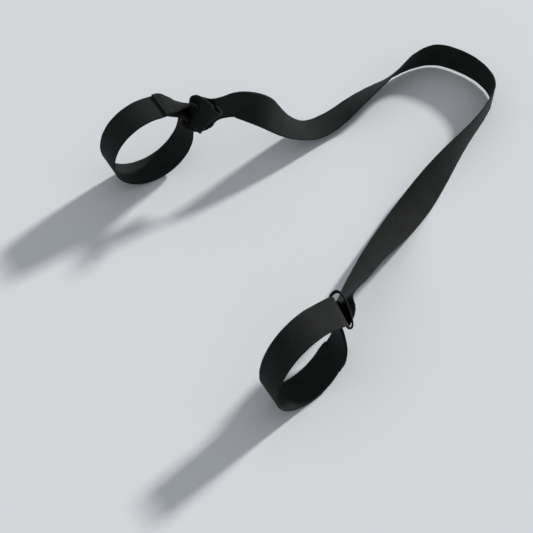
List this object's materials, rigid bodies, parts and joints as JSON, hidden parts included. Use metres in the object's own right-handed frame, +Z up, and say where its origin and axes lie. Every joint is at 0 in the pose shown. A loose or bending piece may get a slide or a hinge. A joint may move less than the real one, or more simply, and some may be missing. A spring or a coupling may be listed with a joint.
{
  "type": "stretching strap",
  "caption": "Black webbing stretching strap with a sewn slip eye at each end, set as two round nooses with the handle loop lying between them.",
  "frame": {"origin": "on the floor, under the middle of the strap's bounding box", "axes": "+X from the nooses towards the handle's bow, +Y along the roll's axis from the near noose to the far noose, +Z up"},
  "size_m": [0.484, 0.3982, 0.1104],
  "materials": {
    "noose_webbing": "black flat-woven webbing",
    "eye_webbing": "black flat-woven webbing, doubled and sewn",
    "handle_webbing": "black flat-woven webbing, worn softer along the selvedges",
    "thread": "black bonded sewing thread"
  },
  "bodies": {
    "nooses": {"far_noose_webbing": "noose_webbing", "near_noose_webbing": "noose_webbing", "far_eye_webbing": "eye_webbing", "near_eye_webbing": "eye_webbing", "far_eye_tail": "eye_webbing", "near_eye_tail": "eye_webbing", "far_eye_stitching": "thread", "near_eye_stitching": "thread", "far_passing_webbing": "handle_webbing", "near_passing_webbing": "handle_webbing"},
    "handle": {"handle_webbing": "handle_webbing"}
  },
  "joints": [
    {"name": "handle_lift", "type": "hinge", "parent": "nooses", "child": "handle", "pos_m": [-0.12, 0, 0.062], "axis": [0, -1, 0], "range_deg": [0, 90]}
  ]
}
